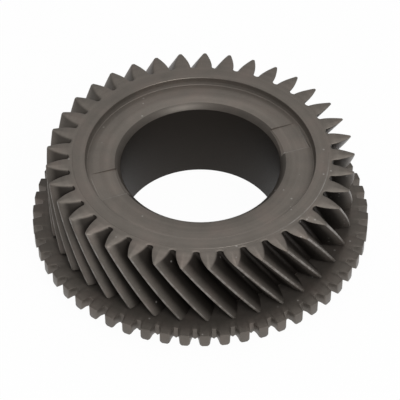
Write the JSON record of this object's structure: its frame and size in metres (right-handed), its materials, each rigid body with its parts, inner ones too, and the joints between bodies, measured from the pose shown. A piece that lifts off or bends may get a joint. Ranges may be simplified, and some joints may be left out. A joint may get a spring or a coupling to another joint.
{
  "type": "single helical gear with clutch ring",
  "caption": "Left-hand helical speed gear with a straight-toothed clutch ring, plain bore, recessed thrust face and two oil grooves.",
  "frame": {"origin": "centre of the flat bottom face, on the bore axis", "axes": "+Z along the bore axis from the clutch ring to the toothed end face; +Y through the middle of one gear tooth and one clutch tooth"},
  "size_m": [0.1718, 0.1718, 0.0527],
  "materials": {
    "phosphated_steel": "matt phosphated steel, warm dark grey"
  },
  "bodies": {
    "root": {"helical_gear": "phosphated_steel"}
  },
  "joints": []
}
